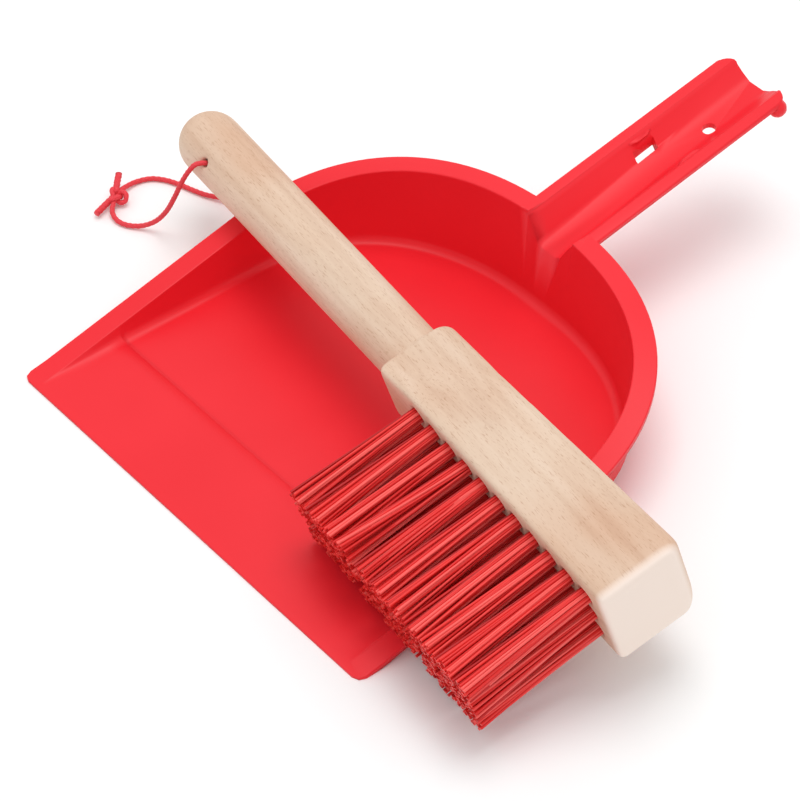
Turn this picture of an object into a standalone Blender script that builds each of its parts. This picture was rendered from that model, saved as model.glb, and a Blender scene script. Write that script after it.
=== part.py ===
"""A dust pan with a hand brush lying across it. Metres, +Z up.

The pan is one plastic moulding. The brush is one piece of beech with tufts in blind holes, and a
knotted cord loop through its handle. The origin is on the flat underside of the pan. X runs along
the pan's lip and Y runs from the lip back to the pan's handle.
"""
from math import cos, pi, radians, sin

import bmesh
import bpy
from mathutils import Euler, Matrix, Vector

GAP = 0.0003
ARC_MIDDLE = 0.3  # how far in the middle of a rounded corner lies, as a share of its radius
SHARP_ANGLE = radians(35)

# Pan: its outline is two straight sides joined by half a superellipse.
PAN_WIDTH = 0.165
LIP_Y = -0.085
SIDE_LENGTH = 0.082
PAN_DEPTH = 0.153
BACK_SQUARENESS = 2.29
RIM_SLOPE = 0.2335
FLANGE_WIDTH = 0.0074
WALL = 0.002
WALL_DRAFT = 0.0012
FLOOR_FILLET = 0.003
FILLET_STEPS = 4
EASED_EDGE = 0.0005
EASED_SHARE = 1 / 3
STEEP_WALL = 4 * FLOOR_FILLET
CREASE_LENGTH = 0.0016
CREASE_BOTTOM = 0.0013
CREASE_BOTTOM_AT = 0.0006
LIP_EDGE = 0.0008
LIP_CORNER = 0.003
RAMP_LENGTH = 0.032
RAMP_TOP = 0.0033
FLOOR_TOP = 0.0025
RAMP_STATIONS = 5
BACK_STATIONS = 34
UNDERSIDE_POINTS = 4

# Pan handle: an open channel with a flange on each side. Its top is a hair lower than the pan's
# rim, so that no two faces share a plane where they are joined.
HANDLE_STEP = 0.00005
HANDLE_END = 0.234
HANDLE_SLOPE = 0.1885
HANDLE_HALF_WIDTH = 0.0145
HANDLE_CORNER = 0.005
HANDLE_CORNER_STATIONS = 6
HANDLE_STATIONS = 9
HANDLE_SHEET = 0.0018
CHANNEL_TOP_HALF = 0.0092
CHANNEL_FLOOR_HALF = 0.0042
CHANNEL_DEPTH_AT_PAN = 0.0085
CHANNEL_DEPTH_AT_END = 0.0047
CHANNEL_WALL = 0.0018
CHANNEL_ROUNDING = 0.0012
CHANNEL_LIP = 0.0012
CHANNEL_LIP_MIDDLE = (0.3, 0.4)
CHANNEL_LIP_FOOT = 0.1
CHANNEL_LIP_TOP = 0.0001
CUT_THROUGH = 0.006
EAR_RADIUS = 0.0031
EAR_INSET = 0.0016
EAR_BACK = 0.0034
EAR_DROP = 0.0040
HANG_HOLE_RADIUS = 0.0023
HANG_HOLE_X = 0.0015
HANG_HOLE_Y = 0.2120
SLOT_X = -0.0061
SLOT_Y = 0.1915
SLOT_SIZE = (0.0029, 0.0088)
BUMP_LENGTH = 0.009
BUMP_REACH = 0.0008
BUMP_ROOT = 0.0016
BUMP_TOP = 0.0008
BUMP_THICKNESS = 0.0014
BUMP_SET_BACK = 0.0004
BUMP_STATIONS = ((-0.5, 0), (-0.2, 1), (0.25, 1), (0.5, 0))
BUMP_TIP_FROM = 0.1
BUMP_TIP_TO = 0.5
RIGHT_BUMP_OFFSET = 0.0045

# Brush: its own X runs along the handle to the block's end, -Y is the way the bristles point,
# and +Z is the face of the block that lies uppermost.
BRUSH_PLACE = Vector((-0.1139, LIP_Y + 0.0934, 0.0320))
BRUSH_TURN = Euler((radians(17.0), radians(-0.5), radians(-7.4)))
GRIP_END_RADIUS = 0.0106
GRIP_NECK_RADIUS = 0.0101
GRIP_LENGTH = 0.134
GRIP_IN_BLOCK = 0.012
GRIP_SIDES = 24
GRIP_DOME_STEPS = 5
BRUSH_LENGTH = 0.2514
BLOCK_FRONT = 0.0129
BLOCK_BACK = 0.0160
BLOCK_HALF_THICKNESS = 0.0157
BLOCK_TAPER = 0.027
NECK_BACK = 0.0136
NECK_HALF_THICKNESS = 0.0112
BLOCK_EDGE = 0.002
BLOCK_EDGE_STEPS = 2
BLOCK_FOLD = radians(40)
CORD_HOLE_RADIUS = 0.0016
CORD_HOLE_X = 0.0223
CORD_HOLE_TURN = radians(42)

# Tufts
TUFT_COLUMNS = 11
TUFT_ROWS = 3
FIRST_TUFT_X = 0.1555
TUFT_PITCH = 0.00855
ROW_PITCH = 0.0084
MIDDLE_ROW_Z = -0.0008
TUFT_HOLE_RADIUS = 0.0027
TUFT_HOLE_DEPTH = 0.009
TUFT_DRILL_OVERRUN = 0.001
BRISTLE_LENGTH = 0.044
TUFT_MIDDLE_AT = 0.55
TUFT_MIDDLE_SIZE = (0.0072, 0.0070)
TUFT_TIP_SIZE = (0.0079, 0.0078)
TUFT_LEAN = 0.0020
TUFT_SIDES = 8
TUFT_ROUND = 2.0
TUFT_MIDDLE_SQUARENESS = 2.4
TUFT_TIP_SQUARENESS = 3.2

# Cord: the points that its middle line passes, out of the handle and back to it.
CORD_RADIUS = 0.0009
CORD_POINTS = 62
CORD_ROUTE = (
    (-0.0941, 0.0797 + LIP_Y, 0.0364), (-0.0962, 0.0780 + LIP_Y, 0.0336),
    (-0.0985, 0.0763 + LIP_Y, 0.0282), (-0.1020, 0.0752 + LIP_Y, 0.0195),
    (-0.1062, 0.0746 + LIP_Y, 0.0112), (-0.1105, 0.0731 + LIP_Y, 0.0050),
    (-0.1146, 0.0704 + LIP_Y, 0.0018), (-0.1186, 0.0674 + LIP_Y, 0.0011),
    (-0.1225, 0.0662 + LIP_Y, 0.0012), (-0.1262, 0.0670 + LIP_Y, 0.0019),
    (-0.1288, 0.0695 + LIP_Y, 0.0029), (-0.1305, 0.0722 + LIP_Y, 0.0030),
    (-0.1322, 0.0749 + LIP_Y, 0.0029), (-0.1338, 0.0786 + LIP_Y, 0.0018),
    (-0.1342, 0.0832 + LIP_Y, 0.0011), (-0.1325, 0.0876 + LIP_Y, 0.0010),
    (-0.1288, 0.0908 + LIP_Y, 0.0010), (-0.1240, 0.0930 + LIP_Y, 0.0010),
    (-0.1190, 0.0946 + LIP_Y, 0.0010), (-0.1140, 0.0965 + LIP_Y, 0.0011),
    (-0.1092, 0.0990 + LIP_Y, 0.0018), (-0.1045, 0.1018 + LIP_Y, 0.0038),
    (-0.0996, 0.1043 + LIP_Y, 0.0075), (-0.0955, 0.1056 + LIP_Y, 0.0125),
    (-0.0925, 0.1058 + LIP_Y, 0.0175), (-0.0908, 0.1050 + LIP_Y, 0.0220),
    (-0.0902, 0.1034 + LIP_Y, 0.0253), (-0.0904, 0.1015 + LIP_Y, 0.0270),
)
KNOT_AT = 11
KNOT_RADIUS = 0.0029
KNOT_LENGTH = 0.0050
KNOT_SIDES = 12
KNOT_BORE = CORD_RADIUS + 1.5 * GAP
KNOT_END_RADIUS = 0.0018
KNOT_SHOULDER_RADIUS = 0.00267
KNOT_SHOULDER_AT = 0.6
TAIL_RADIUS = 0.0010
TAIL_FLARE = 1.15
TAILS = (
    ((-0.13285, 0.0724 + LIP_Y, 0.0044), (-0.1375, 0.0782 + LIP_Y, 0.0048)),
    ((-0.1317, 0.0698 + LIP_Y, 0.0026), (-0.1286, 0.0624 + LIP_Y, 0.0022)),
)


def clear_scene():
    for old in list(bpy.data.objects):
        bpy.data.objects.remove(old)


def make_material(name, colour, roughness):
    material = bpy.data.materials.new(name)
    material.use_nodes = True
    shader = material.node_tree.nodes["Principled BSDF"]
    shader.inputs["Base Color"].default_value = (*colour, 1)
    shader.inputs["Roughness"].default_value = roughness
    shader.inputs["Metallic"].default_value = 0
    return material


def add_object(name, mesh_data, material):
    """Turn a bmesh into a named object of the scene, with its faces pointing out."""
    bmesh.ops.recalc_face_normals(mesh_data, faces=mesh_data.faces[:])
    mesh = bpy.data.meshes.new(name)
    mesh_data.to_mesh(mesh)
    mesh_data.free()
    mesh.materials.append(material)
    mesh.shade_smooth()
    mesh.set_sharp_from_angle(angle=SHARP_ANGLE)
    made = bpy.data.objects.new(name, mesh)
    bpy.context.collection.objects.link(made)
    return made


def hide_tool(tool):
    tool.hide_render = True
    tool.display_type = "WIRE"


def combine(target, tool, operation):
    """Join a hidden tool shape to the target, or cut it away."""
    hide_tool(tool)
    step = target.modifiers.new(operation.title(), "BOOLEAN")
    step.operation = operation
    step.solver = "EXACT"
    step.object = tool


def loft(sections):
    """A closed solid through rings of points that all have the same number of points."""
    solid = bmesh.new()
    rings = []
    for section in sections:
        rings.append([solid.verts.new(point) for point in section])
    for near, far in zip(rings, rings[1:]):
        for index, corner in enumerate(near):
            following = (index + 1) % len(near)
            solid.faces.new((corner, near[following], far[following], far[index]))
    solid.faces.new(rings[0])
    solid.faces.new(rings[-1])
    return solid


def ramp_height(y):
    """Top of the pan's floor at a distance y behind the lip. The ramp ends in a shallow crease."""
    past_ramp = y - RAMP_LENGTH
    if past_ramp >= CREASE_LENGTH:
        return FLOOR_TOP
    if past_ramp >= CREASE_BOTTOM_AT:
        part = (past_ramp - CREASE_BOTTOM_AT) / (CREASE_LENGTH - CREASE_BOTTOM_AT)
        return CREASE_BOTTOM + (FLOOR_TOP - CREASE_BOTTOM) * part
    if past_ramp >= 0:
        return RAMP_TOP + (CREASE_BOTTOM - RAMP_TOP) * past_ramp / CREASE_BOTTOM_AT
    return LIP_EDGE + (RAMP_TOP - LIP_EDGE) * y / RAMP_LENGTH


def rim_stations():
    """Points of the rim's outer edge from the lip's left corner round to the back's middle,
    each with the direction in which the flange lies. y is counted from the lip."""
    half = PAN_WIDTH / 2
    stations = [(Vector((-half + LIP_CORNER, 0)), Vector((1, 0)))]
    stations.append((Vector((-half + LIP_CORNER * ARC_MIDDLE, LIP_CORNER * ARC_MIDDLE)), Vector((1, 0))))
    along_side = []
    for step in range(RAMP_STATIONS + 1):
        along_side.append(LIP_CORNER + (RAMP_LENGTH - LIP_CORNER) * step / RAMP_STATIONS)
    along_side.append(RAMP_LENGTH + CREASE_BOTTOM_AT)
    along_side.append(RAMP_LENGTH + CREASE_LENGTH)
    along_side.append((RAMP_LENGTH + SIDE_LENGTH) / 2)
    for y in along_side:
        stations.append((Vector((-half, y)), Vector((1, 0))))
    back = PAN_DEPTH - SIDE_LENGTH
    power = 2 / BACK_SQUARENESS
    for step in range(BACK_STATIONS + 1):
        turn = pi / 2 * step / BACK_STATIONS
        across = cos(turn) ** power if step < BACK_STATIONS else 0
        point = Vector((-half * across, SIDE_LENGTH + back * sin(turn) ** power))
        slope_x = -(across ** (BACK_SQUARENESS - 1)) / half
        slope_y = sin(turn) ** (power * (BACK_SQUARENESS - 1)) / back
        stations.append((point, -Vector((slope_x, slope_y)).normalized()))
    return stations


def pan_section(point, inward):
    """The rim, wall and floor edge at one station, as points from the rim's outer edge inwards
    along the top and back along the underside."""
    y = point.y
    rim = max(RIM_SLOPE * y, ramp_height(min(y, RAMP_LENGTH)))
    under_rim = max(0, rim - WALL)
    floor = ramp_height(y)
    steep = min(1, max(0, rim - floor) / STEEP_WALL)
    outer_ease = min(EASED_EDGE, (rim - under_rim) * EASED_SHARE)
    inner_ease = min(EASED_EDGE, (rim - floor) * EASED_SHARE)
    profile = [
        (0, rim - outer_ease),
        (EASED_EDGE * ARC_MIDDLE, rim - outer_ease * ARC_MIDDLE),
        (EASED_EDGE, rim),
        (FLANGE_WIDTH - EASED_EDGE, rim),
        (FLANGE_WIDTH - EASED_EDGE * ARC_MIDDLE, rim - inner_ease * ARC_MIDDLE),
        (FLANGE_WIDTH, rim - inner_ease),
    ]
    wall_foot = FLANGE_WIDTH + WALL_DRAFT * steep
    floor_edge = FLANGE_WIDTH + WALL_DRAFT + FLOOR_FILLET
    fillet_height = min(FLOOR_FILLET, (rim - floor) / 2)
    for step in range(FILLET_STEPS + 1):
        turn = pi / 2 * step / FILLET_STEPS
        inset = wall_foot + (floor_edge - wall_foot) * (1 - cos(turn))
        profile.append((inset + GAP, floor + fillet_height * (1 - sin(turn))))
    profile += [
        (FLANGE_WIDTH + WALL_DRAFT, 0),
        (FLANGE_WIDTH - WALL + WALL_DRAFT, min(FLOOR_FILLET, under_rim / 2)),
        (FLANGE_WIDTH - WALL, under_rim),
        (0, under_rim),
    ]
    straight_side = Vector((-PAN_WIDTH / 2, y))
    base = straight_side if y < SIDE_LENGTH else point
    places = []
    for inset, height in profile:
        edge = point if inset <= EASED_EDGE else base
        spot = edge + inward * inset
        places.append(Vector((min(spot.x, 0), spot.y + LIP_Y, height)))
    return places


def make_pan_body():
    left = [pan_section(point, inward) for point, inward in rim_stations()]
    right = [[Vector((-spot.x, spot.y, spot.z)) for spot in section] for section in left[:-1]]
    body = bmesh.new()
    rings = [[body.verts.new(spot) for spot in section] for section in left + right[::-1]]
    count = len(rings[0])
    top_edge = count - UNDERSIDE_POINTS - 1
    under_edge = top_edge + 1
    for near, far in zip(rings, rings[1:]):
        for index in range(count):
            if index != top_edge:
                following = (index + 1) % count
                body.faces.new((near[index], near[following], far[following], far[index]))
    for index in range(len(left) - 1):
        near_left, far_left = rings[index], rings[index + 1]
        near_right, far_right = rings[-1 - index], rings[-2 - index]
        for edge in (top_edge, under_edge):
            corners = [near_left[edge], far_left[edge], far_right[edge], near_right[edge]]
            if far_left is far_right:
                corners.pop(2)
            body.faces.new(corners)
    lip = rings[0][:under_edge] + rings[-1][top_edge::-1]
    lip += rings[-1][:top_edge:-1] + rings[0][under_edge:]
    body.faces.new(lip)
    return body


def handle_rim(y):
    """Height of the pan handle's top face at a distance y behind the lip."""
    return RIM_SLOPE * PAN_DEPTH + HANDLE_SLOPE * (y - PAN_DEPTH) - HANDLE_STEP


def channel_depth(y):
    part = (y - PAN_DEPTH) / (HANDLE_END - PAN_DEPTH)
    return CHANNEL_DEPTH_AT_PAN + (CHANNEL_DEPTH_AT_END - CHANNEL_DEPTH_AT_PAN) * part


def make_handle_bar():
    """The solid outside of the pan's handle, before its channel is cut."""
    start = PAN_DEPTH - FLANGE_WIDTH + WALL / 2
    straight = HANDLE_END - HANDLE_CORNER - start
    stations = []
    for step in range(HANDLE_STATIONS):
        stations.append((start + straight * step / HANDLE_STATIONS, HANDLE_HALF_WIDTH))
    for step in range(HANDLE_CORNER_STATIONS + 1):
        turn = pi / 2 * step / HANDLE_CORNER_STATIONS
        along = HANDLE_END - HANDLE_CORNER * (1 - sin(turn))
        stations.append((along, HANDLE_HALF_WIDTH - (HANDLE_CORNER - GAP) * (1 - cos(turn))))
    sections = []
    for y, half in stations:
        rim = handle_rim(y)
        shoulder = min(CHANNEL_TOP_HALF + CHANNEL_LIP + CHANNEL_WALL / 2, half - GAP)
        keel = CHANNEL_FLOOR_HALF + CHANNEL_WALL
        drop = channel_depth(y) + CHANNEL_WALL
        side = (
            (half - EASED_EDGE, rim),
            (half, rim - EASED_EDGE),
            (half, rim - HANDLE_SHEET),
            (shoulder, rim - HANDLE_SHEET - GAP),
            (keel, rim - drop),
        )
        ring = [Vector((x, y + LIP_Y, z)) for x, z in side]
        ring += [Vector((-x, y + LIP_Y, z)) for x, z in side[::-1]]
        sections.append(ring)
    return loft(sections)


def make_channel_cutter():
    lip_in, lip_down = CHANNEL_LIP_MIDDLE
    start = PAN_DEPTH - FLANGE_WIDTH - CUT_THROUGH
    length = HANDLE_END + CUT_THROUGH - start
    sections = []
    for step in range(HANDLE_STATIONS + 1):
        y = start + length * step / HANDLE_STATIONS
        rim = handle_rim(y)
        depth = channel_depth(y)
        side = (
            (CHANNEL_TOP_HALF + CHANNEL_LIP, rim + CUT_THROUGH),
            (CHANNEL_TOP_HALF + CHANNEL_LIP, rim - CHANNEL_LIP_TOP),
            (CHANNEL_TOP_HALF + CHANNEL_LIP * lip_in, rim - CHANNEL_LIP * lip_down),
            (CHANNEL_TOP_HALF - CHANNEL_LIP * CHANNEL_LIP_FOOT, rim - CHANNEL_LIP),
            (CHANNEL_FLOOR_HALF + CHANNEL_ROUNDING, rim - depth + CHANNEL_ROUNDING),
            (CHANNEL_FLOOR_HALF - CHANNEL_ROUNDING, rim - depth),
        )
        ring = [Vector((x, y + LIP_Y, z)) for x, z in side]
        ring += [Vector((-x, y + LIP_Y, z)) for x, z in side[::-1]]
        sections.append(ring)
    return loft(sections)


def make_ear(side):
    """A rounded bead that hangs under the flange at the end of the handle."""
    bead = bmesh.new()
    place = Vector((side * (HANDLE_HALF_WIDTH - EAR_INSET), HANDLE_END - EAR_BACK + LIP_Y,
                    handle_rim(HANDLE_END) - EAR_DROP))
    bmesh.ops.create_uvsphere(bead, u_segments=12, v_segments=8, radius=EAR_RADIUS,
                              matrix=Matrix.Translation(place))
    return bead


def make_box(centre, size):
    box = bmesh.new()
    bmesh.ops.create_cube(box, size=1, matrix=Matrix.Translation(centre) @ Matrix.Diagonal((*size, 1)))
    return box


def make_bump(side):
    """A low bump on the channel's wall, sloping off at both ends."""
    middle = SLOT_Y if side < 0 else SLOT_Y + RIGHT_BUMP_OFFSET
    root = CHANNEL_TOP_HALF + BUMP_ROOT
    sections = []
    for along, reach in BUMP_STATIONS:
        y = middle + BUMP_LENGTH * along
        top = handle_rim(y) - BUMP_TOP
        tip = CHANNEL_TOP_HALF - BUMP_SET_BACK - BUMP_REACH * reach
        ring = ((root, top), (tip, top - BUMP_THICKNESS * BUMP_TIP_FROM),
                (tip, top - BUMP_THICKNESS * BUMP_TIP_TO), (root, top - BUMP_THICKNESS))
        sections.append([Vector((side * x, y + LIP_Y, z)) for x, z in ring])
    return loft(sections)


def make_dust_pan(material):
    pan = add_object("dust_pan", make_pan_body(), material)
    combine(pan, add_object("handle_bar", make_handle_bar(), material), "UNION")
    combine(pan, add_object("channel_cutter", make_channel_cutter(), material), "DIFFERENCE")
    for side, name in ((-1, "left"), (1, "right")):
        combine(pan, add_object(name + "_ear", make_ear(side), material), "UNION")
        combine(pan, add_object(name + "_bump", make_bump(side), material), "UNION")
    slot_top = handle_rim(SLOT_Y) - BUMP_TOP
    slot_depth = channel_depth(SLOT_Y) + CHANNEL_WALL + 2 * CUT_THROUGH
    slot_place = Vector((SLOT_X, SLOT_Y + LIP_Y, slot_top - slot_depth / 2 - BUMP_THICKNESS / 2))
    slot = make_box(slot_place, (*SLOT_SIZE, slot_depth))
    combine(pan, add_object("slot_cutter", slot, material), "DIFFERENCE")
    drill = bmesh.new()
    drill_middle = handle_rim(HANG_HOLE_Y) - channel_depth(HANG_HOLE_Y)
    drill_place = Vector((HANG_HOLE_X, HANG_HOLE_Y + LIP_Y, drill_middle))
    bmesh.ops.create_cone(drill, cap_ends=True, segments=16, radius1=HANG_HOLE_RADIUS,
                          radius2=HANG_HOLE_RADIUS, depth=2 * CUT_THROUGH,
                          matrix=Matrix.Translation(drill_place))
    combine(pan, add_object("hang_hole_drill", drill, material), "DIFFERENCE")


def brush_matrix():
    return Matrix.Translation(BRUSH_PLACE) @ BRUSH_TURN.to_matrix().to_4x4()


def make_grip():
    """The round handle, turned: a domed end, a slight taper and a neck inside the block."""
    rings = []
    for step in range(1, GRIP_DOME_STEPS + 1):
        turn = pi / 2 * step / GRIP_DOME_STEPS
        rings.append((GRIP_END_RADIUS * (1 - cos(turn)), GRIP_END_RADIUS * sin(turn)))
    rings.append((GRIP_LENGTH, GRIP_NECK_RADIUS))
    rings.append((GRIP_LENGTH + GRIP_IN_BLOCK, GRIP_NECK_RADIUS))
    sections = []
    for x, radius in rings:
        section = []
        for side in range(GRIP_SIDES):
            turn = 2 * pi * side / GRIP_SIDES
            section.append(Vector((x, radius * cos(turn), radius * sin(turn))))
        sections.append(section)
    return loft(sections)


def make_block():
    """The rectangular block, thinner where it meets the handle, with all its edges rounded."""
    stations = (
        (GRIP_LENGTH, NECK_BACK, NECK_HALF_THICKNESS),
        (GRIP_LENGTH + BLOCK_TAPER, BLOCK_BACK, BLOCK_HALF_THICKNESS),
        (BRUSH_LENGTH, BLOCK_BACK, BLOCK_HALF_THICKNESS),
    )
    sections = []
    for x, back, half in stations:
        corners = ((-BLOCK_FRONT, -half), (back, -half), (back, half), (-BLOCK_FRONT, half))
        sections.append([Vector((x, y, z)) for y, z in corners])
    block = loft(sections)
    bmesh.ops.recalc_face_normals(block, faces=block.faces[:])
    folds = [edge for edge in block.edges if edge.calc_face_angle() > BLOCK_FOLD]
    bmesh.ops.bevel(block, geom=folds, offset=BLOCK_EDGE, segments=BLOCK_EDGE_STEPS, profile=0.5,
                    affect="EDGES", material=-1)
    return block


def tuft_roots():
    """Row and column numbers of every tuft, and where it stands on the bristle face."""
    for row in range(TUFT_ROWS):
        z = MIDDLE_ROW_Z + ROW_PITCH * (1 - row)
        for column in range(TUFT_COLUMNS):
            x = FIRST_TUFT_X + TUFT_PITCH * column
            yield row + 1, column + 1, Vector((x, -BLOCK_FRONT, z))


def make_tuft_drills():
    """All the blind holes of the tufts as one cutting shape, each a separate round plug."""
    drills = bmesh.new()
    lie_along_y = Matrix.Rotation(pi / 2, 4, "X")
    for _, _, root in tuft_roots():
        middle = root + Vector((0, (TUFT_HOLE_DEPTH - TUFT_DRILL_OVERRUN) / 2, 0))
        bmesh.ops.create_cone(drills, cap_ends=True, segments=TUFT_SIDES, radius1=TUFT_HOLE_RADIUS,
                              radius2=TUFT_HOLE_RADIUS,
                              depth=TUFT_HOLE_DEPTH + TUFT_DRILL_OVERRUN,
                              matrix=Matrix.Translation(middle) @ lie_along_y)
    return drills


def make_cord_drill():
    """A straight hole through the grip, square to its length and turned about it."""
    drill = bmesh.new()
    upright = Matrix.Rotation(pi / 2 - CORD_HOLE_TURN, 4, "X")
    bmesh.ops.create_cone(drill, cap_ends=True, segments=12, radius1=CORD_HOLE_RADIUS,
                          radius2=CORD_HOLE_RADIUS, depth=3 * GRIP_END_RADIUS,
                          matrix=Matrix.Translation((CORD_HOLE_X, 0, 0)) @ upright)
    return drill


def make_brush_block(material, rest):
    block = add_object("brush_block", make_block(), material)
    tools = (
        ("grip", make_grip(), "UNION"),
        ("tuft_drills", make_tuft_drills(), "DIFFERENCE"),
        ("cord_drill", make_cord_drill(), "DIFFERENCE"),
    )
    block.parent = rest
    for name, shape, operation in tools:
        tool = add_object(name, shape, material)
        tool.parent = rest
        combine(block, tool, operation)


def make_tuft(root):
    """One tuft, as round as its hole at the root and nearly square at the tip."""
    root_radius = TUFT_HOLE_RADIUS - GAP
    root_size = (2 * root_radius, 2 * root_radius)
    stations = (
        (TUFT_HOLE_DEPTH - GAP, 0, root_size, TUFT_ROUND),
        (-TUFT_DRILL_OVERRUN, 0, root_size, TUFT_ROUND),
        (-BRISTLE_LENGTH * TUFT_MIDDLE_AT, 0.5, TUFT_MIDDLE_SIZE, TUFT_MIDDLE_SQUARENESS),
        (-BRISTLE_LENGTH, 1, TUFT_TIP_SIZE, TUFT_TIP_SQUARENESS),
    )
    sections = []
    for along, lean, size, squareness in stations:
        centre = root + Vector((TUFT_LEAN * lean, along, 0))
        section = []
        for side in range(TUFT_SIDES):
            turn = 2 * pi * (side + 0.5) / TUFT_SIDES
            reach = (abs(cos(turn)) ** squareness + abs(sin(turn)) ** squareness) ** (-1 / squareness)
            across = Vector((size[0] * cos(turn), 0, size[1] * sin(turn)))
            section.append(centre + across * reach / 2)
        sections.append(section)
    return loft(sections)


def make_tufts(material, rest):
    for row, column, root in tuft_roots():
        tuft = add_object(f"tuft_{row}_{column:02d}", make_tuft(root), material)
        tuft.parent = rest


def smooth_route(points, count, steps=12):
    """Evenly spaced points of a smooth curve that passes through all the given points."""
    given = [Vector(point) for point in points]
    ends = [given[0] * 2 - given[1]] + given + [given[-1] * 2 - given[-2]]
    fine = []
    for index in range(1, len(ends) - 2):
        before, start, stop, after = ends[index - 1:index + 3]
        for step in range(steps):
            part = step / steps
            line = start * 2 + (stop - before) * part
            line += (before * 2 - start * 5 + stop * 4 - after) * part ** 2
            line += (start * 3 - before - stop * 3 + after) * part ** 3
            fine.append(line / 2)
    fine.append(given[-1])
    lengths = [0]
    for near, far in zip(fine, fine[1:]):
        lengths.append(lengths[-1] + (far - near).length)
    route = []
    for index in range(count):
        wanted = lengths[-1] * index / (count - 1)
        place = max(step for step, length in enumerate(lengths[:-1]) if length <= wanted + 1e-9)
        part = (wanted - lengths[place]) / (lengths[place + 1] - lengths[place])
        route.append(fine[place].lerp(fine[place + 1], part))
    return route


def make_cord(material):
    line = bpy.data.curves.new("cord_loop", "CURVE")
    line.dimensions = "3D"
    line.bevel_depth = CORD_RADIUS
    line.bevel_resolution = 2
    line.use_fill_caps = True
    spline = line.splines.new("POLY")
    route = smooth_route(CORD_ROUTE, CORD_POINTS)
    spline.points.add(len(route) - 1)
    for point, place in zip(spline.points, route):
        point.co = (*place, 1)
    line.materials.append(material)
    cord = bpy.data.objects.new("cord_loop", line)
    bpy.context.collection.objects.link(cord)


def aim(start, stop):
    """A matrix whose Z runs from start to stop, placed halfway between them."""
    along = stop - start
    turn = along.to_track_quat("Z", "Y").to_matrix().to_4x4()
    return Matrix.Translation((start + stop) / 2) @ turn


def make_knot_body():
    """A barrel round the cord, open along its middle so that the cord passes through."""
    before, centre, after = (Vector(CORD_ROUTE[KNOT_AT + step]) for step in (-1, 0, 1))
    axis = (after - before).normalized() * KNOT_LENGTH / 2
    profile = (
        (KNOT_BORE, -1), (KNOT_END_RADIUS, -1), (KNOT_SHOULDER_RADIUS, -KNOT_SHOULDER_AT),
        (KNOT_RADIUS, 0), (KNOT_SHOULDER_RADIUS, KNOT_SHOULDER_AT), (KNOT_END_RADIUS, 1),
        (KNOT_BORE, 1),
    )
    frame = aim(centre - axis, centre + axis)
    barrel = bmesh.new()
    rings = []
    for radius, along in profile:
        ring = []
        for side in range(KNOT_SIDES):
            turn = 2 * pi * side / KNOT_SIDES
            spot = Vector((radius * cos(turn), radius * sin(turn), along * KNOT_LENGTH / 2))
            ring.append(barrel.verts.new(frame @ spot))
        rings.append(ring)
    for near, far in zip(rings, rings[1:] + rings[:1]):
        for index in range(KNOT_SIDES):
            following = (index + 1) % KNOT_SIDES
            barrel.faces.new((near[index], near[following], far[following], far[index]))
    return barrel


def make_knot(material):
    knot = add_object("cord_knot", make_knot_body(), material)
    for number, ends in enumerate(TAILS):
        start, tip = (Vector(end) for end in ends)
        tail = bmesh.new()
        bmesh.ops.create_cone(tail, cap_ends=True, segments=8, radius1=TAIL_RADIUS,
                              radius2=TAIL_RADIUS * TAIL_FLARE, depth=(tip - start).length,
                              matrix=aim(start, tip))
        combine(knot, add_object(f"cord_tail_{number + 1}", tail, material), "UNION")


def build():
    clear_scene()
    rest = bpy.data.objects.new("brush_rest", None)
    rest.matrix_world = brush_matrix()
    bpy.context.collection.objects.link(rest)
    make_dust_pan(make_material("red_polypropylene", (0.80, 0.015, 0.025), 0.35))
    make_brush_block(make_material("beech", (0.76, 0.56, 0.39), 0.6), rest)
    make_tufts(make_material("red_bristle", (0.62, 0.02, 0.02), 0.45), rest)
    red_cord = make_material("red_cord", (0.70, 0.05, 0.07), 0.7)
    make_cord(red_cord)
    make_knot(red_cord)


build()
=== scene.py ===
import random
from math import cos, pi, radians, sin

import bmesh
import bpy
from mathutils import Euler, Matrix, Vector


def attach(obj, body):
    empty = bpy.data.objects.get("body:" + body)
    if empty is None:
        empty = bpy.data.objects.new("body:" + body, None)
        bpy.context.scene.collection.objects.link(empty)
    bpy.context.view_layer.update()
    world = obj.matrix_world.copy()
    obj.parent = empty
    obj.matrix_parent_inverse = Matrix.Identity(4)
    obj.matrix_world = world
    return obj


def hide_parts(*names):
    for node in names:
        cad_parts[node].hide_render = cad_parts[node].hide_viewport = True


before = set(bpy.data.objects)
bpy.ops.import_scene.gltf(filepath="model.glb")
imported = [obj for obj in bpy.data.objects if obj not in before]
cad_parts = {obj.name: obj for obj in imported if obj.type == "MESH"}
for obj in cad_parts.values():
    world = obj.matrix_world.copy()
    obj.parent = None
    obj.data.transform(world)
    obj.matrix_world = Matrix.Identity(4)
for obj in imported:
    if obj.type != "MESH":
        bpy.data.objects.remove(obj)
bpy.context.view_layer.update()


# Camera and light: a long lens from the front right, well above, under a broad soft light from
# overhead that leaves soft shadows straight below whatever stands clear of the table.
CAMERA_TARGET = Vector((0.0012, -0.0015, 0.0))
CAMERA_SIDE = Vector((0.5507, -0.4615, 0.6956)).normalized()
CAMERA_DISTANCE = 1.0242
CAMERA_LENS = 148.5
SENSOR_WIDTH = 36
NEAREST_SEEN = 0.05
LIGHT_PLACE = Vector((-0.08, 0.10, 1.2))
LIGHT_SIZE = 0.7
LIGHT_POWER = 5.4
ROOM_LIGHT = 0.80


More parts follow.
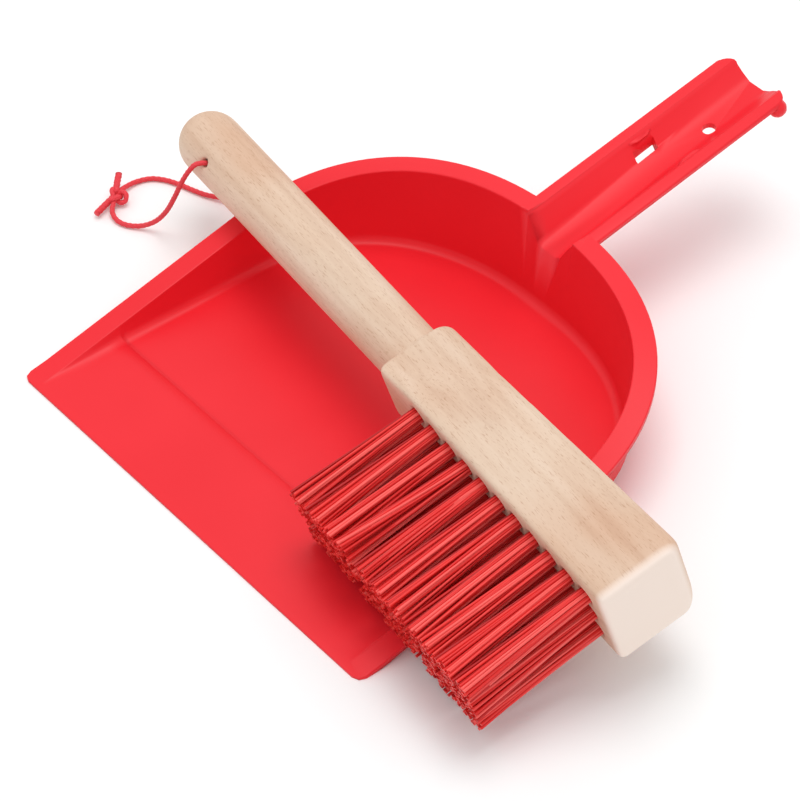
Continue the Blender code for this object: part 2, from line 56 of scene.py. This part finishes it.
def add_camera():
    lens = bpy.data.cameras.new("camera")
    lens.lens = CAMERA_LENS
    lens.sensor_width = SENSOR_WIDTH
    lens.clip_start = NEAREST_SEEN
    camera = bpy.data.objects.new("camera", lens)
    bpy.context.scene.collection.objects.link(camera)
    camera.location = CAMERA_TARGET + CAMERA_SIDE * CAMERA_DISTANCE
    camera.rotation_euler = (-CAMERA_SIDE).to_track_quat("-Z", "Y").to_euler()
    bpy.context.scene.camera = camera


def add_soft_light():
    panel = bpy.data.lights.new("overhead", "AREA")
    panel.size = LIGHT_SIZE
    panel.energy = LIGHT_POWER
    light = bpy.data.objects.new("overhead", panel)
    bpy.context.scene.collection.objects.link(light)
    light.location = LIGHT_PLACE
    light.rotation_euler = (-LIGHT_PLACE).to_track_quat("-Z", "Y").to_euler()


add_camera()
add_soft_light()
world = bpy.data.worlds.new("studio")
world.use_nodes = True
room = world.node_tree.nodes["Background"]
room.inputs["Color"].default_value = (1, 1, 1, 1)
room.inputs["Strength"].default_value = ROOM_LIGHT
bpy.context.scene.world = world
bpy.context.scene.view_settings.view_transform = "Standard"


# Floor: a plain white studio table top that the pan and the cord lie on. It is matt and seamless,
# and reaches well past everything in view.
FLOOR_REACH = 3


def linear(hex_colour):
    """The linear colour, with alpha, of an sRGB colour written as six hex digits."""
    parts = [int(hex_colour[place:place + 2], 16) / 255 for place in (0, 2, 4)]
    lit = [part / 12.92 if part <= 0.04045 else ((part + 0.055) / 1.055) ** 2.4 for part in parts]
    return (*lit, 1)


def start_material(name):
    """A new material, and its shader, whose sockets the caller sets."""
    material = bpy.data.materials.new(name)
    material.use_nodes = True
    return material, material.node_tree.nodes["Principled BSDF"]


def set_sockets(material, node, **sockets):
    """Give a node's sockets values, or link them to other nodes' outputs. A socket's name has
    spaces where the keyword has underscores, and n6 is its seventh socket."""
    for name, value in sockets.items():
        numbered = name[0] == "n" and name[1:].isdigit()
        socket = node.inputs[int(name[1:]) if numbered else name.replace("_", " ")]
        if isinstance(value, bpy.types.NodeSocket):
            material.node_tree.links.new(value, socket)
        else:
            socket.default_value = value


def add_floor():
    plate = bmesh.new()
    bmesh.ops.create_grid(plate, x_segments=1, y_segments=1, size=FLOOR_REACH)
    mesh = bpy.data.meshes.new("floor")
    plate.to_mesh(mesh)
    plate.free()
    floor = bpy.data.objects.new("floor", mesh)
    bpy.context.scene.collection.objects.link(floor)
    material, shader = start_material("white_matt_paper")
    set_sockets(material, shader, Base_Color=linear("FBFDFD"), Roughness=0.9,
                Specular_IOR_Level=0.1)
    mesh.materials.append(material)


add_floor()


# Cord: a thin red cord, 1.8 mm over its strands, threaded through the grip and laid on the table in
# a loose loop. Its three strands show as a slow spiral.
CORD_RADIUS = 0.0009
CORD_POINTS = 240
LIP_Y = -0.085
CORD_ROUTE = (
    (-0.0941, 0.0797 + LIP_Y, 0.0364), (-0.0962, 0.0780 + LIP_Y, 0.0336),
    (-0.0985, 0.0763 + LIP_Y, 0.0282), (-0.1020, 0.0752 + LIP_Y, 0.0195),
    (-0.1062, 0.0746 + LIP_Y, 0.0112), (-0.1105, 0.0731 + LIP_Y, 0.0050),
    (-0.1146, 0.0704 + LIP_Y, 0.0018), (-0.1186, 0.0674 + LIP_Y, 0.0011),
    (-0.1225, 0.0662 + LIP_Y, 0.0012), (-0.1262, 0.0670 + LIP_Y, 0.0019),
    (-0.1288, 0.0695 + LIP_Y, 0.0029), (-0.1305, 0.0722 + LIP_Y, 0.0030),
    (-0.1322, 0.0749 + LIP_Y, 0.0029), (-0.1338, 0.0786 + LIP_Y, 0.0018),
    (-0.1342, 0.0832 + LIP_Y, 0.0011), (-0.1325, 0.0876 + LIP_Y, 0.0010),
    (-0.1288, 0.0908 + LIP_Y, 0.0010), (-0.1240, 0.0930 + LIP_Y, 0.0010),
    (-0.1190, 0.0946 + LIP_Y, 0.0010), (-0.1140, 0.0965 + LIP_Y, 0.0011),
    (-0.1092, 0.0990 + LIP_Y, 0.0018), (-0.1045, 0.1018 + LIP_Y, 0.0038),
    (-0.0996, 0.1043 + LIP_Y, 0.0075), (-0.0955, 0.1056 + LIP_Y, 0.0125),
    (-0.0925, 0.1058 + LIP_Y, 0.0175), (-0.0908, 0.1050 + LIP_Y, 0.0220),
    (-0.0902, 0.1034 + LIP_Y, 0.0253), (-0.0904, 0.1015 + LIP_Y, 0.0270),
)
INSIDE_HOLE = ((-0.0925, 0.0852 + LIP_Y, 0.0347), (-0.0911, 0.0959 + LIP_Y, 0.0297))
STRANDS = 3
SIDES_PER_STRAND = 6
STRAND_DEPTH = 0.13
STRAND_TURN_LENGTH = 0.0055
CORD_FIBRE = 0.0003
CORD_WELD = 0.000001


def smooth_route(points, count, steps=12):
    """Evenly spaced points of a smooth curve that passes through all the given points."""
    given = [Vector(point) for point in points]
    ends = [given[0] * 2 - given[1]] + given + [given[-1] * 2 - given[-2]]
    fine = []
    for index in range(1, len(ends) - 2):
        before, start, stop, after = ends[index - 1:index + 3]
        for step in range(steps):
            part = step / steps
            line = start * 2 + (stop - before) * part
            line += (before * 2 - start * 5 + stop * 4 - after) * part ** 2
            line += (start * 3 - before - stop * 3 + after) * part ** 3
            fine.append(line / 2)
    fine.append(given[-1])
    lengths = [0]
    for near, far in zip(fine, fine[1:]):
        lengths.append(lengths[-1] + (far - near).length)
    route = []
    for index in range(count):
        wanted = lengths[-1] * index / (count - 1)
        place = max(step for step, length in enumerate(lengths[:-1]) if length <= wanted + 1e-9)
        part = (wanted - lengths[place]) / (lengths[place + 1] - lengths[place])
        route.append(fine[place].lerp(fine[place + 1], part))
    return route


def add_twisted_cord(name, route, radius, closed=False):
    """A mesh tube along the route whose lobed section turns as it goes, like twisted strands."""
    profile_line = bpy.data.curves.new(name + "_section", "CURVE")
    profile_spline = profile_line.splines.new("POLY")
    sides = SIDES_PER_STRAND * STRANDS
    profile_spline.points.add(sides - 1)
    for side, point in enumerate(profile_spline.points):
        turn = 2 * pi * side / sides
        reach = radius * (1 - STRAND_DEPTH / 2 + STRAND_DEPTH / 2 * cos(STRANDS * turn))
        point.co = (reach * cos(turn), reach * sin(turn), 0, 1)
    profile_spline.use_cyclic_u = True
    profile = bpy.data.objects.new(name + "_section", profile_line)
    bpy.context.scene.collection.objects.link(profile)
    line = bpy.data.curves.new(name, "CURVE")
    line.dimensions = "3D"
    line.bevel_mode = "OBJECT"
    line.bevel_object = profile
    line.use_fill_caps = not closed
    spline = line.splines.new("POLY")
    spline.points.add(len(route) - 1)
    travelled = 0
    for index, (point, place) in enumerate(zip(spline.points, route)):
        if index:
            travelled += (place - route[index - 1]).length
        point.co = (*place, 1)
        point.tilt = 2 * pi * travelled / STRAND_TURN_LENGTH
    spline.use_cyclic_u = closed
    curve = bpy.data.objects.new(name + "_curve", line)
    bpy.context.scene.collection.objects.link(curve)
    bpy.context.view_layer.update()
    mesh = bpy.data.meshes.new_from_object(curve.evaluated_get(bpy.context.evaluated_depsgraph_get()))
    tube = bmesh.new()
    tube.from_mesh(mesh)
    bmesh.ops.remove_doubles(tube, verts=tube.verts[:], dist=CORD_WELD)
    bmesh.ops.recalc_face_normals(tube, faces=tube.faces[:])
    tube.to_mesh(mesh)
    tube.free()
    mesh.name = name
    mesh.shade_smooth()
    bpy.data.objects.remove(curve)
    bpy.data.objects.remove(profile)
    made = bpy.data.objects.new(name, mesh)
    bpy.context.scene.collection.objects.link(made)
    return made


def add_node(material, kind, settings=None, stops=(), **sockets):
    """A shader node with its settings, its sockets, and any (place, hex colour) stops of a ramp."""
    node = material.node_tree.nodes.new(kind)
    for name, value in (settings or {}).items():
        setattr(node, name, value)
    if stops:
        elements = node.color_ramp.elements
        while len(elements) < len(stops):
            elements.new(0.5)
        for element, (place, colour) in zip(elements, stops):
            element.position = place
            element.color = linear(colour)
    set_sockets(material, node, **sockets)
    return node


def make_cord_material():
    """Twisted synthetic cord: soft sheen, with fine fibres too small to show drawn as 0.3 mm grain."""
    material, shader = start_material("twisted_synthetic_cord")
    place = add_node(material, "ShaderNodeTexCoord").outputs["Object"]
    grain = add_node(material, "ShaderNodeTexNoise", Vector=place, Scale=1 / CORD_FIBRE, Detail=2.0)
    colour = add_node(material, "ShaderNodeValToRGB", stops=((0.3, "E0343E"), (0.7, "F6505A")),
                      Fac=grain.outputs["Fac"]).outputs["Color"]
    bump = add_node(material, "ShaderNodeBump", Height=grain.outputs["Fac"], Strength=0.3,
                    Distance=0.0001)
    set_sockets(material, shader, Base_Color=colour, Roughness=0.6, Specular_IOR_Level=0.3,
                Normal=bump.outputs["Normal"])
    return material


cord_material = make_cord_material()
cord_path = smooth_route((INSIDE_HOLE[0],) + CORD_ROUTE + (INSIDE_HOLE[1],), CORD_POINTS)
cord = add_twisted_cord("hanging_cord", cord_path, CORD_RADIUS)
cord.data.materials.append(cord_material)
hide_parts("cord_loop")
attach(cord, "brush")


# Knot: the cord's two ends tied together in a small overhand knot, drawn tight, with two short
# tails that are cut square.
KNOT_AT = 11
TAIL_RADIUS = 0.0012
KNOT_SIZE = 0.00106
KNOT_POINTS = 90
KNOT_DEPTH = 1.1
TAIL_POINTS = 14
TAILS = (
    ((-0.1313, 0.0724 + LIP_Y, 0.0036), (-0.1345, 0.0752 + LIP_Y, 0.0044),
     (-0.1375, 0.0782 + LIP_Y, 0.0048)),
    ((-0.1310, 0.0716 + LIP_Y, 0.0032), (-0.1300, 0.0668 + LIP_Y, 0.0024),
     (-0.1286, 0.0624 + LIP_Y, 0.0022)),
)


def add_knot():
    """The overhand knot's line, drawn tight round the place where the cord's ends meet."""
    before, centre, after = (Vector(CORD_ROUTE[KNOT_AT + step]) for step in (-1, 0, 1))
    turn = (after - before).to_track_quat("X", "Z").to_matrix()
    line = []
    for step in range(KNOT_POINTS):
        part = 2 * pi * step / KNOT_POINTS
        spot = Vector((sin(part) + 2 * sin(2 * part), cos(part) - 2 * cos(2 * part),
                       -sin(3 * part) * KNOT_DEPTH))
        line.append(centre + turn @ (spot * KNOT_SIZE))
    knot = add_twisted_cord("cord_knot_tied", line, CORD_RADIUS, closed=True)
    pieces = [add_twisted_cord(f"tail_{number}", smooth_route(tail, TAIL_POINTS), TAIL_RADIUS)
              for number, tail in enumerate(TAILS)]
    joined = bmesh.new()
    joined.from_mesh(knot.data)
    for piece in pieces:
        joined.from_mesh(piece.data)
        bpy.data.objects.remove(piece)
    joined.to_mesh(knot.data)
    joined.free()
    return knot


knot = add_knot()
knot.data.materials.append(cord_material)
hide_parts("cord_knot")
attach(knot, "brush")


# Dust pan: one injection moulding in red polypropylene, 2 mm thick, with all its edges eased as
# they leave the mould. Its surface is a satin gloss with a very fine moulded texture.
PAN_CREASE = radians(32)
WELD = 0.00001
COLOUR_FLOW = 0.06
MOULD_TEXTURE = 0.0006


def merged_copy(node, name):
    """A CAD node's shape as a new object whose loose triangles are one joined surface."""
    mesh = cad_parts[node].data.copy()
    mesh.name = name
    mesh.materials.clear()
    surface = bmesh.new()
    surface.from_mesh(mesh)
    bmesh.ops.remove_doubles(surface, verts=surface.verts[:], dist=WELD)
    surface.to_mesh(mesh)
    surface.free()
    mesh.shade_smooth()
    mesh.set_sharp_from_angle(angle=PAN_CREASE)
    made = bpy.data.objects.new(name, mesh)
    bpy.context.scene.collection.objects.link(made)
    return made


def make_pan_material():
    """Moulded polypropylene: even red through and through, with a soft broad gloss. The colour
    drifts a little over 60 mm, and the texture is drawn at 0.6 mm, coarser than a mould leaves."""
    material, shader = start_material("moulded_red_polypropylene")
    place = add_node(material, "ShaderNodeTexCoord").outputs["Object"]
    flow = add_node(material, "ShaderNodeTexNoise", Vector=place, Scale=1 / COLOUR_FLOW, Detail=2.0)
    colour = add_node(material, "ShaderNodeValToRGB", stops=((0.3, "EC202C"), (0.7, "F22632")),
                      Fac=flow.outputs["Fac"]).outputs["Color"]
    texture = add_node(material, "ShaderNodeTexNoise", Vector=place, Scale=1 / MOULD_TEXTURE, Detail=2.0)
    bump = add_node(material, "ShaderNodeBump", Height=texture.outputs["Fac"], Strength=0.05,
                    Distance=0.0001)
    gloss = add_node(material, "ShaderNodeMapRange", Value=flow.outputs["Fac"], To_Min=0.34,
                     To_Max=0.44)
    set_sockets(material, shader, Base_Color=colour, Roughness=gloss.outputs["Result"], IOR=1.49,
                Specular_IOR_Level=0.32, Normal=bump.outputs["Normal"])
    return material


pan = merged_copy("dust_pan", "pan_moulding")
pan.modifiers.new("Even shading", "WEIGHTED_NORMAL").keep_sharp = True
pan.data.materials.append(make_pan_material())
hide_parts("dust_pan")
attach(pan, "pan")


# Brush block and grip: one piece of beech, turned at the grip and square at the block, then sanded
# so that the shoulders flow together and every edge is soft. It is left unvarnished.
BRUSH_PLACE = Vector((-0.1139, LIP_Y + 0.0934, 0.0320))
BRUSH_TURN = Euler((radians(17.0), radians(-0.5), radians(-7.4)))
GRIP_END_RADIUS = 0.0106
GRIP_NECK_RADIUS = 0.0101
GRIP_LENGTH = 0.134
BRUSH_LENGTH = 0.2514
BLOCK_FRONT = 0.0129
BLOCK_BACK = 0.0160
BLOCK_HALF_THICKNESS = 0.0157
BLOCK_TAPER = 0.027
NECK_BACK = 0.0136
NECK_HALF_THICKNESS = 0.0112
BLOCK_EDGE = 0.0018
BACK_EDGE = 0.0062
SHOULDER_EDGE = 0.0028
# Painted light: the paler colour painted on the sawn end face, for the light that face catches.
END_PAINTED_LIGHT = "F8E6DA"
CORD_HOLE_RADIUS = 0.0016
CORD_HOLE_X = 0.0223
CORD_HOLE_TURN = radians(42)
TUFT_COLUMNS = 11
TUFT_ROWS = 3
FIRST_TUFT_X = 0.1555
TUFT_PITCH = 0.00855
ROW_PITCH = 0.0084
MIDDLE_ROW_Z = -0.0008
TUFT_HOLE_RADIUS = 0.0027
TUFT_HOLE_DEPTH = 0.009
SANDING_GRID = 0.00065
SANDING_PASSES = 10
GRIP_DOME_STEPS = 12
GRIP_IN_BLOCK = 0.012
GRIP_SIDES = 64
DRILL_SIDES = 24
DRILL_OVERRUN = 0.001
FOLD = radians(40)
CUBE_BREAK = -0.2
NEARLY = 0.0001
GROWTH_LINES = 0.003
RAY_FLECKS = 0.0003
WOOD_PATCHES = 0.03
# Painted light: how far in from the sawn end the painted paler end colour fades out.
PAINTED_END_LIGHT_FADE = (0.0035, 0.0008)
brush_matrix = Matrix.Translation(BRUSH_PLACE) @ BRUSH_TURN.to_matrix().to_4x4()
to_brush = brush_matrix.inverted()


def add_shape(name, shape):
    mesh = bpy.data.meshes.new(name)
    bmesh.ops.recalc_face_normals(shape, faces=shape.faces[:])
    shape.to_mesh(mesh)
    shape.free()
    made = bpy.data.objects.new(name, mesh)
    bpy.context.scene.collection.objects.link(made)
    return made


def turned_grip():
    """The grip, spun from its outline: a dome, a slight taper, and a plug inside the block."""
    shape = bmesh.new()
    outline = [shape.verts.new((0, 0, 0))]
    for step in range(1, GRIP_DOME_STEPS + 1):
        turn = pi / 2 * step / GRIP_DOME_STEPS
        along = GRIP_END_RADIUS * (1 - cos(turn))
        outline.append(shape.verts.new((along, 0, GRIP_END_RADIUS * sin(turn))))
    outline.append(shape.verts.new((GRIP_LENGTH, 0, GRIP_NECK_RADIUS)))
    outline.append(shape.verts.new((GRIP_LENGTH + GRIP_IN_BLOCK, 0, GRIP_NECK_RADIUS)))
    outline.append(shape.verts.new((GRIP_LENGTH + GRIP_IN_BLOCK, 0, 0)))
    edges = [shape.edges.new(pair) for pair in zip(outline, outline[1:])]
    bmesh.ops.spin(shape, geom=outline + edges, cent=(0, 0, 0), axis=(1, 0, 0), angle=2 * pi,
                   steps=GRIP_SIDES, use_merge=True)
    bmesh.ops.remove_doubles(shape, verts=shape.verts[:], dist=WELD)
    return shape


def folds_of(shape):
    return [edge for edge in shape.edges if edge.calc_face_angle(0) > FOLD]


def at_grip_end(edge):
    return all(end.co.x < GRIP_LENGTH + NEARLY for end in edge.verts)


def ease(shape, edges, offset, steps):
    bmesh.ops.bevel(shape, geom=edges, offset=offset, segments=steps, profile=0.5, affect="EDGES",
                    material=-1)


def shaped_block():
    """The block, from a cube drawn out to length, thinned at the grip and with its edges eased."""
    shape = bmesh.new()
    bmesh.ops.create_cube(shape, size=1)
    bmesh.ops.bisect_plane(shape, geom=shape.verts[:] + shape.edges[:] + shape.faces[:],
                           plane_co=(CUBE_BREAK, 0, 0), plane_no=(1, 0, 0))
    for corner in shape.verts:
        at_grip = corner.co.x < 2 * CUBE_BREAK
        half = NECK_HALF_THICKNESS if at_grip else BLOCK_HALF_THICKNESS
        back = NECK_BACK if at_grip else BLOCK_BACK
        at_break = abs(corner.co.x - CUBE_BREAK) < NEARLY
        x = BRUSH_LENGTH
        if at_grip:
            x = GRIP_LENGTH
        elif at_break:
            x = GRIP_LENGTH + BLOCK_TAPER
        y = back if corner.co.y > 0 else -BLOCK_FRONT
        z = half if corner.co.z > 0 else -half
        corner.co = (x, y, z)
    at_back = []
    for edge in folds_of(shape):
        if all(end.co.y > 0 for end in edge.verts) and not at_grip_end(edge):
            at_back.append(edge)
    ease(shape, at_back, BACK_EDGE, 8)
    ease(shape, [edge for edge in shape.edges if at_grip_end(edge)], SHOULDER_EDGE, 5)
    ease(shape, folds_of(shape), BLOCK_EDGE, 4)
    return shape


def drill(shape, place, turn, radius, depth):
    bmesh.ops.create_cone(shape, cap_ends=True, segments=DRILL_SIDES, radius1=radius,
                          radius2=radius, depth=depth, matrix=Matrix.Translation(place) @ turn)


def drills():
    """The blind tuft holes and the cord's through hole."""
    shape = bmesh.new()
    for row in range(TUFT_ROWS):
        for column in range(TUFT_COLUMNS):
            place = Vector((FIRST_TUFT_X + TUFT_PITCH * column,
                            -BLOCK_FRONT + TUFT_HOLE_DEPTH / 2 - DRILL_OVERRUN,
                            MIDDLE_ROW_Z + ROW_PITCH * (1 - row)))
            drill(shape, place, Matrix.Rotation(pi / 2, 4, "X"), TUFT_HOLE_RADIUS,
                  TUFT_HOLE_DEPTH + 2 * DRILL_OVERRUN)
    drill(shape, (CORD_HOLE_X, 0, 0), Matrix.Rotation(pi / 2 - CORD_HOLE_TURN, 4, "X"),
          CORD_HOLE_RADIUS, 3 * GRIP_END_RADIUS)
    return shape


def add_brush_body():
    block = add_shape("beech_brush_body", shaped_block())
    tools = [add_shape("grip_tool", turned_grip()), add_shape("drill_tool", drills())]
    for tool, operation in zip(tools, ("UNION", "DIFFERENCE")):
        step = block.modifiers.new(operation.title(), "BOOLEAN")
        step.operation = operation
        step.solver = "EXACT"
        step.object = tool
    sand = block.modifiers.new("Sanding grid", "REMESH")
    sand.mode = "VOXEL"
    sand.voxel_size = SANDING_GRID
    soften = block.modifiers.new("Sanding", "SMOOTH")
    soften.factor = 0.5
    soften.iterations = SANDING_PASSES
    bpy.context.view_layer.update()
    mesh = bpy.data.meshes.new_from_object(block.evaluated_get(bpy.context.evaluated_depsgraph_get()))
    for used in tools + [block]:
        bpy.data.objects.remove(used)
    mesh.transform(brush_matrix)
    mesh.name = "beech_brush_body"
    mesh.shade_smooth()
    body = bpy.data.objects.new("beech_brush_body", mesh)
    bpy.context.scene.collection.objects.link(body)
    return body


def in_brush(material, stretch):
    """Coordinates along, across and through the brush, for patterns that follow the wood.
    stretch draws a pattern out along each of them."""
    place = add_node(material, "ShaderNodeTexCoord").outputs["Object"]
    own = add_node(material, "ShaderNodeMapping", Vector=place, Rotation=to_brush.to_euler(),
                   Location=to_brush.translation)
    stretched = add_node(material, "ShaderNodeMapping", Vector=own.outputs["Vector"], Scale=stretch)
    return stretched.outputs["Vector"]


def make_beech_material():
    """Sanded beech: pale pinkish cream, long faint growth lines about 3 mm apart, and the short
    brown flecks of its rays, about 2 mm long and 0.3 mm wide. The sawn end is painted paler:
    painted light, for the light that face catches."""
    material, shader = start_material("sanded_unvarnished_beech")
    lines = add_node(material, "ShaderNodeTexNoise", Vector=in_brush(material, (0.05, 1, 1)),
                     Scale=1 / GROWTH_LINES, Detail=4.0, Distortion=0.4)
    pores = add_node(material, "ShaderNodeTexNoise", Vector=in_brush(material, (0.12, 1, 1)),
                     Scale=1 / RAY_FLECKS, Detail=2.0)
    patches = add_node(material, "ShaderNodeTexNoise", Vector=in_brush(material, (0.5, 1, 1)),
                       Scale=1 / WOOD_PATCHES, Detail=2.0)
    wood = add_node(material, "ShaderNodeValToRGB", Fac=lines.outputs["Fac"],
                    stops=((0.28, "D5B8A1"), (0.5, "DFC5AE"), (0.72, "E5CDB8"))).outputs["Color"]
    fleck = add_node(material, "ShaderNodeValToRGB", Fac=pores.outputs["Fac"],
                     stops=((0.30, "C4A084"), (0.42, "FFFFFF"))).outputs["Color"]
    warm = add_node(material, "ShaderNodeValToRGB", Fac=patches.outputs["Fac"],
                    stops=((0.35, "F3E2D8"), (0.65, "FFFFFF"))).outputs["Color"]
    flecked = add_node(material, "ShaderNodeMix", {"data_type": "RGBA", "blend_type": "MULTIPLY"},
                       n0=0.45, n6=wood, n7=fleck)
    final = add_node(material, "ShaderNodeMix", {"data_type": "RGBA", "blend_type": "MULTIPLY"},
                     n0=1.0, n6=flecked.outputs[2], n7=warm)
    places = add_node(material, "ShaderNodeSeparateXYZ", Vector=in_brush(material, (1, 1, 1)))
    # Painted light: towards the sawn end the wood is painted paler, for the light that face catches.
    painted_end_light = add_node(material, "ShaderNodeMapRange", Value=places.outputs["X"],
                       From_Min=BRUSH_LENGTH - PAINTED_END_LIGHT_FADE[0],
                       From_Max=BRUSH_LENGTH - PAINTED_END_LIGHT_FADE[1]).outputs["Result"]
    with_painted_end_light = add_node(material, "ShaderNodeMix", {"data_type": "RGBA"}, n0=painted_end_light, n6=final.outputs[2],
                     n7=linear(END_PAINTED_LIGHT))
    bump = add_node(material, "ShaderNodeBump", Height=pores.outputs["Fac"], Strength=0.08,
                    Distance=0.0001)
    set_sockets(material, shader, Base_Color=with_painted_end_light.outputs[2], Roughness=0.62, Specular_IOR_Level=0.3,
                Normal=bump.outputs["Normal"])
    return material


body = add_brush_body()
body.data.materials.append(make_beech_material())
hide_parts("brush_block")
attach(body, "brush")


# Tufts: bundles of red plastic filament set into their holes; in the real brush each is folded
# double there, which is not drawn. The filaments spread towards their cut ends. Each one drawn
# stands for a few real ones, and is three to four times as thick, so that it shows.
BRISTLE_LENGTH = 0.044
FILAMENTS = 64
FILAMENT_RADIUS = 0.00032
TIP_RADIUS = 0.00050
CLUMPS = 5
CLUMP_PULL = 0.85
FILAMENT_STATIONS = 6
TUFT_TIP_SIZE = (0.0079, 0.0078)
TUFT_LEAN = 0.0020
PARTED_TUFT = 4
PARTED_LEAN = -0.0022
SWAY = (0.0007, 0.0005)
STRAY = 0.0003
LONGER = 0.0002
SHORTER = 0.0011
ROOT_DEPTH = 0.004
ROOT_CLEARANCE = 1.4
NEXT_TURN = pi * (3 - 5 ** 0.5)
SQUARED = 0.7
SPREAD_BEND = 1.25
LEAN_BEND = 1.4
CUT_END = radians(100)
BRISTLE_SEED = 7


def make_bristle_material():
    """Extruded plastic filament: deep red with a gloss along each strand, and no two quite alike."""
    material, shader = start_material("extruded_red_filament")
    strand = add_node(material, "ShaderNodeNewGeometry").outputs["Random Per Island"]
    tones = ((0.0, "B81416"), (0.35, "E42422"), (0.75, "F03632"), (1.0, "FF6C66"))
    tone = add_node(material, "ShaderNodeValToRGB", stops=tones, Fac=strand).outputs["Color"]
    set_sockets(material, shader, Base_Color=tone, Roughness=0.38, Specular_IOR_Level=0.35)
    return material


def add_tuft(row, column, chance, material):
    """One tuft: filaments packed in a spiral over the round hole, fanning out to a square tip."""
    name = f"filaments_{row}_{column:02d}"
    line = bpy.data.curves.new(name, "CURVE")
    line.dimensions = "3D"
    line.bevel_depth = 1
    line.bevel_resolution = 1
    line.use_fill_caps = True
    root_x = FIRST_TUFT_X + TUFT_PITCH * (column - 1)
    root_z = MIDDLE_ROW_Z + ROW_PITCH * (2 - row)
    sway = Vector((chance.gauss(0, SWAY[0]), 0, chance.gauss(0, SWAY[1])))
    lean = TUFT_LEAN + sway.x
    if column == PARTED_TUFT and row == 1:
        lean += PARTED_LEAN
    clumps = [Vector((chance.uniform(-1, 1), 0, chance.uniform(-1, 1))) for _ in range(CLUMPS)]
    for number in range(FILAMENTS):
        reach = ((number + 0.5) / FILAMENTS) ** 0.5
        turn = number * NEXT_TURN
        inside = Vector((cos(turn), 0, sin(turn))) * reach
        squared = inside / max(abs(cos(turn)), abs(sin(turn))) ** SQUARED
        nearest = min(clumps, key=lambda clump: (clump - squared).length)
        squared = squared.lerp(nearest, CLUMP_PULL * chance.random())
        stray = Vector((chance.gauss(0, STRAY), 0, chance.gauss(0, STRAY)))
        tip_length = BRISTLE_LENGTH + chance.uniform(-SHORTER, LONGER)
        root_radius = TUFT_HOLE_RADIUS - FILAMENT_RADIUS * ROOT_CLEARANCE
        spline = line.splines.new("POLY")
        spline.points.add(FILAMENT_STATIONS - 1)
        for station, point in enumerate(spline.points):
            part = station / (FILAMENT_STATIONS - 1)
            along = ROOT_DEPTH - (tip_length + ROOT_DEPTH) * part
            spread = part ** SPREAD_BEND
            x = root_x + inside.x * root_radius * (1 - spread)
            x += (squared.x * TUFT_TIP_SIZE[0] / 2 + stray.x) * spread + lean * part ** LEAN_BEND
            z = root_z + inside.z * root_radius * (1 - spread)
            z += (squared.z * TUFT_TIP_SIZE[1] / 2 + stray.z + sway.z) * spread
            spot = brush_matrix @ Vector((x, -BLOCK_FRONT + along, z))
            point.co = (*spot, 1)
            point.radius = FILAMENT_RADIUS + (TIP_RADIUS - FILAMENT_RADIUS) * part
    curve = bpy.data.objects.new(name + "_curve", line)
    bpy.context.scene.collection.objects.link(curve)
    bpy.context.view_layer.update()
    mesh = bpy.data.meshes.new_from_object(curve.evaluated_get(bpy.context.evaluated_depsgraph_get()))
    bpy.data.objects.remove(curve)
    mesh.name = name
    mesh.shade_smooth()
    mesh.set_sharp_from_angle(angle=CUT_END)
    mesh.materials.clear()
    mesh.materials.append(material)
    tuft = bpy.data.objects.new(name, mesh)
    bpy.context.scene.collection.objects.link(tuft)
    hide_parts(f"tuft_{row}_{column:02d}")
    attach(tuft, "brush")


bristle_material = make_bristle_material()
chance = random.Random(BRISTLE_SEED)
for row in range(1, TUFT_ROWS + 1):
    for column in range(1, TUFT_COLUMNS + 1):
        add_tuft(row, column, chance, bristle_material)
